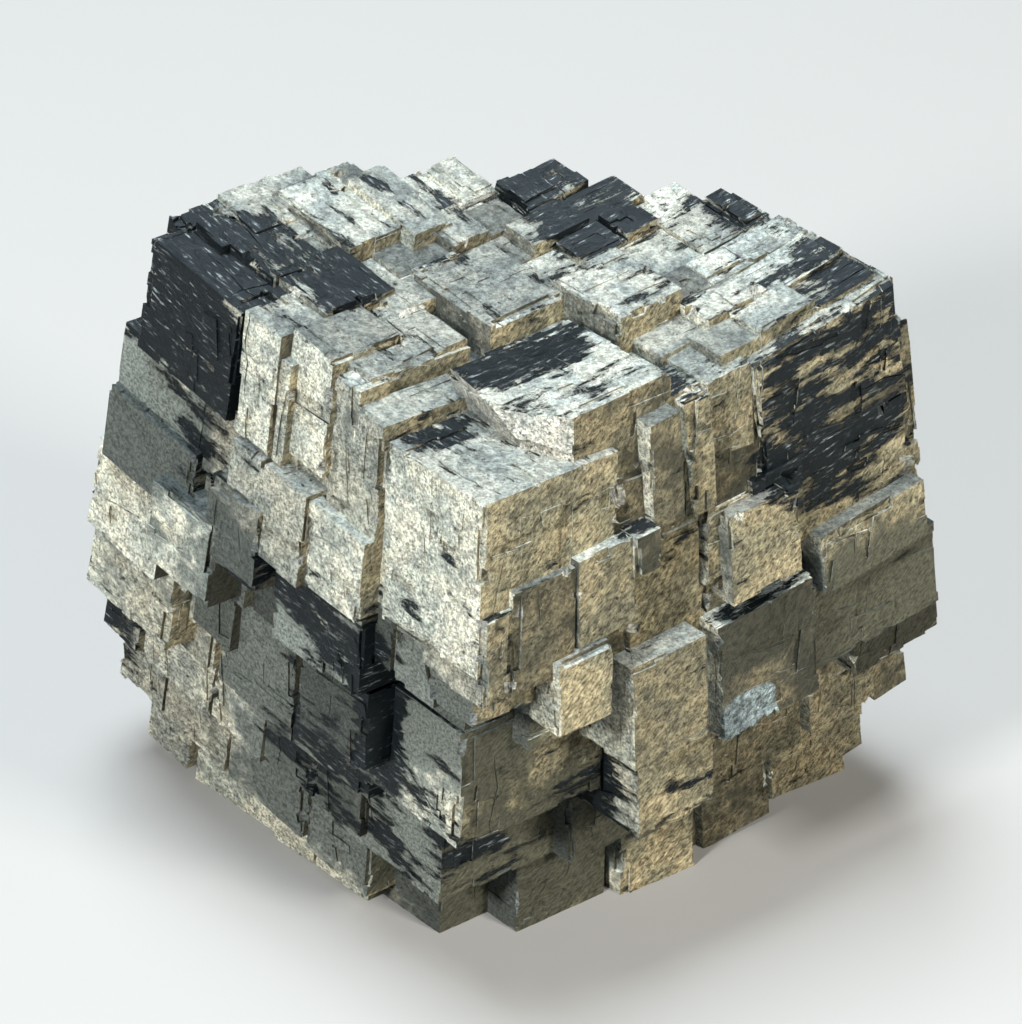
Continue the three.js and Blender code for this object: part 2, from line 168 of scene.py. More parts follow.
# Partly hue variation, partly painted sheen: the warm tint is the golden colour of the painted sheen, the
# cool tint goes where the painted sheen is weak
COOL_TINT, WARM_SHEEN_TINT = (0.95, 1.0, 1.02, 1), (1.03, 1.0, 0.95, 1)
DUSK_TINT = (0.2, 0.225, 0.24, 1)
BLUE_FILM = (0.3, 0.37, 0.38, 1)
METALLIC = 0.5
SPECULAR = 0.25
FILM_ROUGHNESS, GLASS_ROUGHNESS = 0.36, 0.3
FULL = 1.0               # share of a colour that is multiplied in

# The studio: each light's name, place, size, power and colour, in metres and watts
LIGHTS = (
    ("sky", (-0.05, 0.1, 0.42), 0.2, 4.0, (0.88, 0.96, 1)),
    ("left", (-0.28, -0.26, 0.26), 0.07, 3.1, (1, 0.99, 0.94)),
    ("right", (0.32, -0.18, 0.18), 0.08, 2.5, (1, 0.95, 0.85)),
)
LIGHT_TARGET = Vector((0, 0, 0.02))
SURROUND = (0.06, 0.06, 0.06, 1)
FLOOR_SIZE = 6
FLOOR_COLOUR = (0.25, 0.25, 0.25, 1)
FLOOR_ROUGHNESS = 0.8
NEAREST_SEEN = 0.01      # metres from the camera

# The photograph's camera, from its picture size and the scale at the keystone's corner
PICTURE = (1022, 1024)
CORNER_PIXEL = (485, 506)
PIXELS_PER_MM = 19.0
CAMERA_DISTANCE = 260.0
CAMERA_ELEVATION = math.radians(40)
SENSOR = 36.0


# Lattice

def turned(vector, angle):
    """A vector turned about +Z."""
    cos, sin = math.cos(angle), math.sin(angle)
    x, y, z = vector
    return np.array([cos * x - sin * y, sin * x + cos * y, z])


MIDDLE = turned((0, 1, 0), -FRONT_TURN)
EDGE_A = turned(MIDDLE, FACE_ANGLE / 2)
EDGE_B = turned(MIDDLE, -FACE_ANGLE / 2)
LEAN = -math.cos(FACE_ANGLE) / math.cos(FACE_ANGLE / 2)
EDGE_C = MIDDLE * LEAN + np.array([0, 0, math.sqrt(1 - LEAN * LEAN)])
EDGES = np.stack([EDGE_A, EDGE_B, EDGE_C])
UP = np.array([0, 0, 1.0])


def unit(vectors):
    """Vectors of length one."""
    lengths = np.linalg.norm(vectors, axis=-1, keepdims=True)
    return vectors / np.maximum(lengths, 1e-12)


def curled(places):
    """Where lattice places lie from the front top corner: the lattice curls up away from it."""
    along = places[:, :2] / BEND_RADIUS
    axes = along[:, :1] * np.cross(EDGE_A, UP) + along[:, 1:] * np.cross(EDGE_B, UP)
    angles = np.linalg.norm(axes, axis=1, keepdims=True)
    axes = unit(axes)
    leaning = places[:, 2:] * EDGE_C
    turned_part = np.cos(angles) * leaning + np.sin(angles) * np.cross(axes, leaning)
    turned_part += axes * (axes * leaning).sum(axis=1, keepdims=True) * (1 - np.cos(angles))
    lift = (places[:, :2] ** 2).sum(axis=1, keepdims=True) / (2 * BEND_RADIUS)
    return places[:, :2] @ EDGES[:2] + lift * UP + turned_part


def lattice_places(points, corner):
    """Each point's place along a, b and c from the front top corner, with the lattice's curl taken out."""
    to_lattice = np.linalg.inv(EDGES)
    away = points - corner
    places = away @ to_lattice
    for _ in range(CURL_ROUNDS):
        places += (away - curled(places)) @ to_lattice
    return places


# Triangle meshes as arrays

def solid_arrays(node):
    """The CAD solid's merged points, in millimetres, and its triangles."""
    form = bmesh.new()
    form.from_mesh(node.data)
    bmesh.ops.remove_doubles(form, verts=form.verts, dist=2e-7)
    bmesh.ops.triangulate(form, faces=form.faces)
    points = np.array([vert.co for vert in form.verts]) / MM
    faces = np.array([[vert.index for vert in face.verts] for face in form.faces])
    form.free()
    return points, faces


def face_normals(points, faces):
    """Each triangle's normal, as long as twice its area."""
    first, second, third = (points[faces[:, i]] for i in range(3))
    return np.cross(second - first, third - first)


def edge_pairs(faces):
    """Every edge as a sorted pair of points, with the two triangles that it joins."""
    sides = np.concatenate([faces[:, [0, 1]], faces[:, [1, 2]], faces[:, [2, 0]]])
    owners = np.tile(np.arange(len(faces)), 3)
    sides.sort(axis=1)
    order = np.lexsort((sides[:, 1], sides[:, 0]))
    sides, owners = sides[order], owners[order]
    return sides[0::2], np.stack([owners[0::2], owners[1::2]], axis=1)


def flat_facets(normals, joined):
    """A facet number for each triangle: neighbours that lie flat together share one."""
    flat = (normals[joined[:, 0]] * normals[joined[:, 1]]).sum(1) > FLAT_COSINE
    first, second = joined[flat].T
    facets = np.arange(len(normals))
    while True:
        lowest = np.minimum(facets[first], facets[second])
        before = facets.copy()
        np.minimum.at(facets, first, lowest)
        np.minimum.at(facets, second, lowest)
        facets = facets[facets]
        if (facets == before).all():
            return facets


def mesh_of(name, points, faces):
    """A Blender mesh from arrays."""
    mesh = bpy.data.meshes.new(name)
    mesh.from_pydata(points.tolist(), [], faces.tolist() if hasattr(faces, "tolist") else faces)
    return mesh


# Fine relief: small prisms that are joined to the crystal or cut out of it

def prism(outline, origin, along, across, normal, low, high):
    """A prism over an outline in the slanted axes along and across."""
    plane = origin + outline[:, :1] * along + outline[:, 1:] * across
    count = len(outline)
    points = np.concatenate([plane + low * normal, plane + high * normal])
    base = list(range(count))
    lid = [count + i for i in base]
    if np.dot(np.cross(along, across), normal) > 0:
        base.reverse()
    else:
        lid.reverse()
    sides = []
    for i in range(count):
        j = (i + 1) % count
        side = [i, j, count + j, count + i]
        sides.append(side if lid[0] == count else side[::-1])
    reach = np.linalg.norm(points - origin, axis=1).max()
    return {"points": points, "faces": [base, lid, *sides], "centre": origin, "reach": reach}


def notched_outline(width, height, draw):
    """A plate's outline with steps broken out of some of its corners."""
    outline = []
    for turn, (side_x, side_y) in enumerate(((-1, -1), (1, -1), (1, 1), (-1, 1))):
        corner = np.array([side_x * width, side_y * height]) / 2
        step = np.array([side_x * width, side_y * height]) * draw.uniform(*NOTCH_SHARE, 2)
        inner = corner - step
        if draw.random_sample() < NOTCH_CHANCE:
            upright, level = [corner[0], inner[1]], [inner[0], corner[1]]
            outline += [upright, inner, level] if turn % 2 == 0 else [level, inner, upright]
        else:
            outline.append(corner)
    outline = np.array(outline, float)
    return outline + draw.uniform(-OUTLINE_WOBBLE, OUTLINE_WOBBLE, outline.shape) * min(width, height)


def crack_outline(length, width, draw):
    """A thin crooked crack that runs out to a point at both ends."""
    stations = np.linspace(-0.5, 0.5, CRACK_STATIONS)
    bends = np.cumsum(draw.uniform(-CRACK_BEND, CRACK_BEND, CRACK_STATIONS)) * length
    opening = width * (1 - np.abs(2 * stations) ** 2) / 2 + CRACK_TIP
    upper = np.stack([stations * length, bends + opening], axis=1)
    lower = np.stack([stations * length, bends - opening], axis=1)
    return np.concatenate([lower, upper[::-1]])


class Surface:
    """The solid as the fine relief sees it: open places, facets and the lattice's directions on them."""

    def __init__(self, points, faces):
        self.points = points
        self.faces = faces
        doubled = face_normals(points, faces)
        self.areas = np.linalg.norm(doubled, axis=1) / 2
        self.normals = unit(doubled)
        self.edges, self.joined = edge_pairs(faces)
        self.facets = flat_facets(self.normals, self.joined)
        self.facet_areas = np.bincount(self.facets, self.areas, len(faces))
        self.tree = BVHTree.FromPolygons(points.tolist(), faces.tolist())

    def open_towards(self, place, direction):
        """Whether nothing stands close before a place."""
        start = Vector(place + direction * RAY_START)
        return self.tree.ray_cast(start, Vector(direction), OPEN_VIEW)[0] is None

    def samples(self, per_area, draw):
        """Open places spread over the facets, with their triangles."""
        wide = self.facet_areas[self.facets] > SMALLEST_FACET
        tops = self.points[self.faces].max(axis=1)[:, 2]
        resting = (self.normals[:, 2] < DOWNWARD) & (tops < RESTING_HEIGHT)
        areas = np.where(wide & ~resting, self.areas, 0)
        count = int(areas.sum() * per_area)
        chosen = draw.choice(len(areas), count, p=areas / areas.sum())
        first, second = np.sqrt(draw.random_sample(count)), draw.random_sample(count)
        shares = np.stack([1 - first, first * (1 - second), first * second], axis=1)
        places = (self.points[self.faces[chosen]] * shares[:, :, None]).sum(axis=1)
        return [
            (place, triangle)
            for place, triangle in zip(places, chosen)
            if self.open_towards(place, self.normals[triangle])
        ]

    def directions(self, triangle, draw):
        """The two lattice edges that lie in a facet, in either order."""
        normal = self.normals[triangle]
        flattest = np.argsort(np.abs(EDGES @ normal))[:2]
        if draw.random_sample() < 0.5:
            flattest = flattest[::-1]
        in_plane = EDGES[flattest] - (EDGES[flattest] @ normal)[:, None] * normal
        return unit(in_plane)

    def holds(self, places, triangle):
        """Whether every place lies on the triangle's facet."""
        for place in places:
            _, _, nearest, distance = self.tree.find_nearest(Vector(place))
            if distance > FACET_TOLERANCE or self.facets[nearest] != self.facets[triangle]:
                return False
        return True


def plates(surface, draw):
    """Thin plates of the next layer that still lie on a face."""
    made = []
    for place, triangle in surface.samples(PLATES_PER_MM2, draw):
        along, across = surface.directions(triangle, draw)
        outline = notched_outline(draw.uniform(*PLATE_LENGTH), draw.uniform(*PLATE_WIDTH), draw)
        height = draw.uniform(*PLATE_HEIGHT)
        if surface.holds(place + outline[:, :1] * along + outline[:, 1:] * across, triangle):
            normal = surface.normals[triangle]
            made.append(prism(outline, place, along, across, normal, PLATE_ROOT, height))
    return made


def pits(surface, draw):
    """Shallow steps where a piece of the top layer is gone, also over an edge."""
    made = []
    for place, triangle in surface.samples(PITS_PER_MM2, draw):
        along, across = surface.directions(triangle, draw)
        outline = notched_outline(draw.uniform(*PIT_LENGTH), draw.uniform(*PIT_WIDTH), draw)
        depth = draw.uniform(*PIT_DEPTH)
        made.append(prism(outline, place, along, across, surface.normals[triangle], -depth, PIT_CLEARANCE))
    return made


def cracks(surface, draw):
    """Fine open cracks along the lattice."""
    made = []
    for place, triangle in surface.samples(CRACKS_PER_MM2, draw):
        along, across = surface.directions(triangle, draw)
        outline = crack_outline(draw.uniform(*CRACK_LENGTH), draw.uniform(*CRACK_WIDTH), draw)
        depth = draw.uniform(*CRACK_DEPTH)
        made.append(prism(outline, place, along, across, surface.normals[triangle], -depth, CRACK_CLEARANCE))
    return made


def edge_places(surface, per_length, draw):
    """Open places along the outward edges, with the edge's direction and the triangles on its two sides."""
    first, second = surface.joined.T
    starts = surface.points[surface.edges[:, 0]]
    runs = surface.points[surface.edges[:, 1]] - starts
    lengths = np.linalg.norm(runs, axis=1)
    centres = surface.points[surface.faces].mean(axis=1)
    outward = ((centres[second] - centres[first]) * surface.normals[first]).sum(1) < 0
    bent = (surface.normals[first] * surface.normals[second]).sum(1) < SHARP_COSINE
    usable = outward & bent & (lengths > SHORTEST_EDGE)
    for edge in np.flatnonzero(usable):
        for _ in range(draw.poisson(lengths[edge] * per_length)):
            place = starts[edge] + runs[edge] * draw.uniform(*EDGE_SHARE)
            bisector = unit(surface.normals[first[edge]] + surface.normals[second[edge]])
            if place[2] > LOWEST_BREAK and surface.open_towards(place, bisector):
                yield place, unit(runs[edge]), (first[edge], second[edge])


def edge_steps(surface, draw):
    """Long low steps where the top layer has broken off along an edge."""
    made = []
    for place, along, sides in edge_places(surface, STEPS_PER_MM, draw):
        side = draw.randint(2)
        normal, other = surface.normals[sides[side]], surface.normals[sides[1 - side]]
        inward = unit(np.cross(normal, along))
        inward *= -np.sign(inward @ other)
        outline = notched_outline(draw.uniform(*STEP_LENGTH), 2 * draw.uniform(*STEP_REACH), draw)
        depth = draw.uniform(*STEP_DEPTH)
        made.append(prism(outline, place, along, inward, normal, -depth, STEP_CLEARANCE))
    return made


def chips(surface, draw):
    """Small splinters knocked off the outward edges."""
    made = []
    for place, run, sides in edge_places(surface, CHIPS_PER_MM, draw):
        bisector = unit(surface.normals[sides[0]] + surface.normals[sides[1]])
        tilt = unit(bisector + draw.uniform(-CHIP_TILT, CHIP_TILT, 3))
        along = unit(run - (run @ tilt) * tilt)
        across = np.cross(tilt, along)
        outline = notched_outline(draw.uniform(*CHIP_LENGTH), draw.uniform(*CHIP_WIDTH), draw)
        depth = draw.uniform(*CHIP_DEPTH)
        made.append(prism(outline, place, along, across, tilt, -depth, CHIP_CLEARANCE))
    return made


def apart(pieces):
    """Sorts pieces into rounds in which none touches another."""
    rounds = []
    for piece in pieces:
        for group in rounds:
            gaps = np.linalg.norm(np.array([other["centre"] for other in group]) - piece["centre"], axis=1)
            if (gaps > np.array([other["reach"] for other in group]) + piece["reach"]).all():
                group.append(piece)
                break
        else:
            rounds.append([piece])
    return rounds


def carved(target, pieces, operation):
    """Joins pieces to the target's mesh or cuts them out of it, round by round."""
    for group in apart(pieces):
        starts = np.cumsum([0] + [len(piece["points"]) for piece in group])
        points = np.concatenate([piece["points"] for piece in group])
        faces = []
        for start, piece in zip(starts, group):
            faces += [[start + corner for corner in face] for face in piece["faces"]]
        tool = bpy.data.objects.new("relief", mesh_of("relief", points, faces))
        bpy.context.scene.collection.objects.link(tool)
        modifier = target.modifiers.new("relief", "BOOLEAN")
        modifier.operation = operation
        modifier.solver = "MANIFOLD"
        modifier.object = tool
        graph = bpy.context.evaluated_depsgraph_get()
        result = bpy.data.meshes.new_from_object(target.evaluated_get(graph))
        target.modifiers.clear()
        target.data = result
        bpy.data.objects.remove(tool)


def arrays_of(mesh):
    """A mesh's points and triangles."""
    form = bmesh.new()
    form.from_mesh(mesh)
    bmesh.ops.triangulate(form, faces=form.faces)
    points = np.array([vert.co for vert in form.verts])
    faces = np.array([[vert.index for vert in face.verts] for face in form.faces])
    form.free()
    return points, faces


def refined(points, faces, longest):
    """Splits every edge that is longer than the limit, until none is left beside a broad triangle."""
    while True:
        sides = np.concatenate([faces[:, [0, 1]], faces[:, [1, 2]], faces[:, [2, 0]]])
        keys, inverse = np.unique(np.sort(sides, axis=1), axis=0, return_inverse=True)
        inverse = inverse.reshape(-1)
        lengths = np.linalg.norm(points[keys[:, 0]] - points[keys[:, 1]], axis=1)
        doubled = np.tile(np.linalg.norm(face_normals(points, faces), axis=1), 3)
        widest = np.zeros(len(keys))
        np.maximum.at(widest, inverse, doubled)
        too_long = (lengths > longest) & (widest > lengths * NARROWEST)
        if not too_long.any():
            return points, faces
        middles = np.full(len(keys), -1)
        middles[too_long] = len(points) + np.arange(too_long.sum())
        points = np.concatenate([points, points[keys[too_long]].mean(axis=1)])
        cuts = middles[inverse].reshape(3, -1).T
        faces = split_faces(points, faces, cuts)


def split_faces(points, faces, cuts):
    """Triangles split at the middles of their cut sides: cuts holds each side's new point, or -1."""
    count = (cuts >= 0).sum(axis=1)
    parts = [faces[count == 0]]
    for turn in range(3):
        order = [(turn + i) % 3 for i in range(3)]
        p, q, r = faces[:, order].T
        pq, qr, rp = cuts[:, order].T
        one = (count == 1) & (pq >= 0)
        parts.append(np.stack([p, pq, r], axis=1)[one])
        parts.append(np.stack([pq, q, r], axis=1)[one])
        two = (count == 2) & (rp < 0)
        first_cut = np.linalg.norm(points[pq] - points[r], axis=1)
        second_cut = np.linalg.norm(points[p] - points[qr], axis=1)
        near = first_cut < second_cut
        parts.append(np.stack([pq, q, qr], axis=1)[two])
        parts.append(np.stack([p, pq, r], axis=1)[two & near])
        parts.append(np.stack([pq, qr, r], axis=1)[two & near])
        parts.append(np.stack([p, pq, qr], axis=1)[two & ~near])
        parts.append(np.stack([p, qr, r], axis=1)[two & ~near])
    p, q, r = faces[count == 3].T
    pq, qr, rp = cuts[count == 3].T
    for corners in ((p, pq, rp), (pq, q, qr), (rp, qr, r), (pq, qr, rp)):
        parts.append(np.stack(corners, axis=1))
    return np.concatenate(parts)


def roughened(points):
    """Points moved a little by smooth noise, so that no face is quite flat and no edge quite straight."""
    moved = points.copy()
    for scale, amount in ROUGHNESS:
        moved += amount * np.array([noise.noise_vector(Vector(point * scale)) for point in points])
    heights = points[:, 2]
    moved[:, 2] = np.where(heights < RESTING_BAND, heights, np.maximum(moved[:, 2], LEAST_HEIGHT))
    return moved


draw = np.random.RandomState(SEED)
noise.seed_set(SEED)
points, faces = solid_arrays(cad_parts[NODE])
at_corner_height = points[np.abs(points[:, 2] - FRONT_HEIGHT) < CORNER_TOLERANCE]
front_corner = at_corner_height[np.argmin(at_corner_height[:, 1])]
surface = Surface(points, faces)

crystal = bpy.data.objects.new("calcite_crystal_surface", mesh_of("relief_base", points, faces))
bpy.context.scene.collection.objects.link(crystal)
carved(crystal, plates(surface, draw), "UNION")
carved(crystal, pits(surface, draw), "DIFFERENCE")
carved(crystal, edge_steps(surface, draw), "DIFFERENCE")
carved(crystal, chips(surface, draw), "DIFFERENCE")
carved(crystal, cracks(surface, draw), "DIFFERENCE")
points, faces = refined(*arrays_of(crystal.data), LONGEST_EDGE)

flat_normals = unit(face_normals(points, faces))
shaped = roughened(points)
crystal.data = mesh_of("calcite_crystal_surface", shaped * MM, faces)


# Markings

def patch_field(places, patches):
    """How strongly a list of patches marks each place, from 0 to 1."""
    field = np.zeros(len(places))
    for _, middle, sizes, strength in patches:
        offsets = np.abs(places - np.array(middle)) / np.array(sizes)
        distance = (offsets ** PATCH_POWER).sum(axis=1) ** (1 / PATCH_POWER)
        field = np.maximum(field, strength * np.clip(PATCH_FALL * (PATCH_REACH - distance), 0, 1))
    return field


def face_family(normals):
    """Which lattice edge each face lies across, 0 for a, 1 for b and 2 for c, and how squarely."""
    across = unit(np.linalg.inv(EDGES).T)
    square = np.abs(normals @ across.T)
    return np.argmax(square, axis=1), square.max(axis=1)


def add_attribute(mesh, name, kind, domain, values):
    """Stores an array as a mesh attribute."""
    field = {"FLOAT": "value", "FLOAT_VECTOR": "vector", "FLOAT_COLOR": "color"}[kind]
    attribute = mesh.attributes.new(name, kind, domain)
    attribute.data.foreach_set(field, np.ascontiguousarray(values, np.float32).reshape(-1))


def parent_facets(surface, points, faces):
    """For each triangle the solid's facet that it lies on: its middle's place and a lot from -1 to 1."""
    nearest = [surface.tree.find_nearest(Vector(middle))[2] for middle in points[faces].mean(axis=1)]
    facets = surface.facets[nearest]
    weighted = surface.points[surface.faces].mean(axis=1) * surface.areas[:, None]
    count = len(surface.faces)
    sums = np.stack([np.bincount(surface.facets, column, count) for column in weighted.T], axis=1)
    middles = lattice_places(sums / np.maximum(surface.facet_areas, 1e-9)[:, None], front_corner)
    lots = np.array([2 * noise.cell(Vector(middle * 3)) - 1 for middle in middles])
    return middles[facets], lots[facets]


def mark(mesh, surface, points, faces, normals):
    """Gives the mesh what its material reads: lattice places, patches and each facet's film."""
    places = lattice_places(points, front_corner)
    middles, lots = parent_facets(surface, points, faces)
    family, square = face_family(normals)
    chip = square < SQUARE_FACE
    # Film colour by face family: partly tarnish, partly painted light, darker and warmer on the shaded faces
    # across a and cooler on the tops
    film = FAMILY_TARNISH_AND_SIDE_LIGHT[family] * (1 + FILM_VARIATION * lots[:, None])
    # Chips get a pale colour, partly a painted edge highlight
    film = np.where(chip[:, None], CHIP_FILM_AND_EDGE_HIGHLIGHT, film)
    facet_bare_and_shade = patch_field(middles, BARE_AND_SHADE_PATCHES) + FACET_VARIATION * lots + FAMILY_BARE[family]
    facet_bare_and_shade = np.where(chip, facet_bare_and_shade + CHIP_WEAR_AND_HIGHLIGHT, facet_bare_and_shade)
    # Partly painted light: through the family offsets the tops are kept paler and the faces across a greyer
    facet_dull_and_side_light = patch_field(middles, DULL_PATCHES) - 2 * FACET_VARIATION * lots + FAMILY_DULL_AND_SIDE_LIGHT[family]
    streak = np.where(family == 2, middles[:, 1] > middles[:, 0], family == 0)
    add_attribute(mesh, "lattice", "FLOAT_VECTOR", "POINT", places)
    # Worn black patches, with the dark wall's painted shade among them
    add_attribute(mesh, "bare_and_shade", "FLOAT", "POINT", patch_field(places, BARE_AND_SHADE_PATCHES))
    add_attribute(mesh, "dull", "FLOAT", "POINT", patch_field(places, DULL_PATCHES))
    add_attribute(mesh, "cool", "FLOAT", "POINT", patch_field(places, COOL_PATCHES))
    add_attribute(mesh, "facet_bare_and_shade", "FLOAT", "FACE", facet_bare_and_shade)
    add_attribute(mesh, "facet_dull_and_side_light", "FLOAT", "FACE", facet_dull_and_side_light)
    # The film attribute carries that painted side light along with the tarnish
    opaque_film = np.concatenate([film, np.ones((len(faces), 1))], axis=1)
    add_attribute(mesh, "film", "FLOAT_COLOR", "FACE", opaque_film)
    add_attribute(mesh, "streak", "FLOAT", "FACE", streak)
    add_attribute(mesh, "stroke", "FLOAT", "FACE", family == 0)
    add_attribute(mesh, "speckle", "FLOAT", "FACE", FAMILY_SPECKLE_AND_GLINTS[family])


class Nodes:
    """Short ways to add and join a material's nodes."""

    def __init__(self, name):
        self.material = bpy.data.materials.new(name)
        self.material.use_nodes = True
        self.tree = self.material.node_tree
        self.shader = self.tree.nodes["Principled BSDF"]

    def add(self, kind, settings=(), **inputs):
        """A new node with its settings and its inputs, which are values or sockets."""
        node = self.tree.nodes.new(kind)
        for name, value in dict(settings).items():
            setattr(node, name, value)
        for name, value in inputs.items():
            self.feed(node.inputs[name.replace("_", " ")], value)
        return node

    def feed(self, socket, value):
        """Links a socket to the input, or sets the input's value."""
        if isinstance(value, bpy.types.NodeSocket):
            self.tree.links.new(value, socket)
        else:
            socket.default_value = value

    def attribute(self, name):
        return self.add("ShaderNodeAttribute", {"attribute_name": name})

    def math(self, operation, first, second=0.0):
        node = self.tree.nodes.new("ShaderNodeMath")
        node.operation = operation
        self.feed(node.inputs[0], first)
        self.feed(node.inputs[1], second)
        return node.outputs[0]

    def sum(self, *weighted):
        """The sum of values times their weights."""
        total = 0.0
        for value, weight in weighted:
            total = self.math("ADD", total, self.math("MULTIPLY", value, weight))
        return total

    def ramp(self, value, low, high, to_low=0.0, to_high=1.0):
        """A smooth step from one level to another as the value goes from low to high."""
        node = self.add("ShaderNodeMapRange", {"interpolation_type": "SMOOTHSTEP"})
        for name, number in (("From Min", low), ("From Max", high), ("To Min", to_low), ("To Max", to_high)):
            node.inputs[name].default_value = number
        self.feed(node.inputs["Value"], value)
        return node.outputs["Result"]

    def noise(self, vector, scale, detail=4.0, roughness=0.6, stretch=(1, 1, 1), shift=(0, 0, 0)):
        """Noise at a scale, finer along the directions that are stretched more."""
        place = self.add("ShaderNodeMapping", Vector=vector, Scale=stretch, Location=shift)
        node = self.add("ShaderNodeTexNoise", Vector=place.outputs["Vector"], Scale=scale, Detail=detail)
        node.inputs["Roughness"].default_value = roughness
        return node.outputs["Fac"]

    def mix(self, share, first, second):
        node = self.add("ShaderNodeMix", {"data_type": "FLOAT"})
        self.feed(node.inputs[0], share)
        self.feed(node.inputs[2], first)
        self.feed(node.inputs[3], second)
        return node.outputs[0]

    def mix_colour(self, share, first, second, blend="MIX"):
        node = self.add("ShaderNodeMix", {"data_type": "RGBA", "blend_type": blend})
        self.feed(node.inputs[0], share)
        self.feed(node.inputs[6], first)
        self.feed(node.inputs[7], second)
        return node.outputs[2]


def drawn_out(nodes, lattice, streak, detail, stretch, shifts):
    """Noise drawn out along a, or along b where streak is 1: stretch is along and across the strokes."""
    along, across = stretch
    along_a = nodes.noise(lattice, 1, detail, 0.7, stretch=(along, across, across), shift=shifts[0])
    along_b = nodes.noise(lattice, 1, detail, 0.7, stretch=(across, along, across), shift=shifts[1])
    return nodes.mix(streak, along_a, along_b)


def fine_grain(nodes, lattice):
    """The fine grain, in slanted strokes on the faces across a."""
    stroke = nodes.attribute("stroke").outputs["Fac"]
    rounded = nodes.noise(lattice, 6, 6, 0.78, shift=(5, 5, 5))
    slant = nodes.add("ShaderNodeMapping", Vector=lattice, Rotation=(STROKE_SLANT, 0, 0))
    slanted = nodes.noise(slant.outputs["Vector"], 6.5, 6, 0.78, stretch=(1, 0.5, 1.1))
    return nodes.mix(stroke, rounded, slanted)


def film_shade(nodes, lattice, grain, sheen):
    """How light the pale film is: speckle with painted glints, dark flecks, a coarse mottling and a broad
    mottling that is partly painted sheen.
    """
    speckle = nodes.attribute("speckle").outputs["Fac"]
    # Painted glints: the grain's bright points go above the film's own colour, standing in for light
    # glinting off the granular faces
    speckle_and_painted_glints = nodes.mix(speckle, 0.9, nodes.ramp(grain, 0.36, 0.62, 0.2, 1.25))
    flecks = nodes.ramp(nodes.noise(lattice, 3.2, 5, 0.75, shift=(17, 3, 9)), 0.58, 0.66, 1, 0.14)
    coarse = nodes.ramp(nodes.noise(lattice, 2.2, 5, 0.7, shift=(11, 2, 5)), 0.38, 0.6, 0.6, 1.12)
    # Painted sheen, partly random tone: the film is lighter where the broad sheen noise is high, a painted
    # gradient of sheen across each face
    mottle_and_painted_sheen = nodes.ramp(sheen, 0.36, 0.6, 0.68, 1.08)
    spotted = nodes.math("MULTIPLY", speckle_and_painted_glints, flecks)
    return nodes.math("MULTIPLY", spotted, nodes.math("MULTIPLY", coarse, mottle_and_painted_sheen))


def film_colours(nodes, lattice, grain):
    """The film's colour where it is pale, where it is dull and in the blue patch."""
    # The film attribute holds the tarnish with painted side light: darker, warmer faces across a and cooler
    # tops
    film = nodes.attribute("film").outputs["Color"]
    # Broad noise for the painted sheen, which lightens and warms the film in broad sweeps
    sheen = nodes.noise(lattice, 0.42, 5, 0.6, shift=(7, 1, 3))
    shade = film_shade(nodes, lattice, grain, sheen)
    # Warmer where the painted sheen is strong
    sheen_tint = nodes.mix_colour(nodes.ramp(sheen, 0.4, 0.6), COOL_TINT, WARM_SHEEN_TINT)
    pale = nodes.mix_colour(FULL, nodes.mix_colour(FULL, film, sheen_tint, "MULTIPLY"), shade, "MULTIPLY")
    dusk = nodes.mix_colour(FULL, film, DUSK_TINT, "MULTIPLY")
    dusk = nodes.mix_colour(FULL, dusk, nodes.ramp(grain, 0.34, 0.66, 0.35, 1.6), "MULTIPLY")
    return pale, dusk, nodes.mix_colour(FULL, BLUE_FILM, shade, "MULTIPLY")


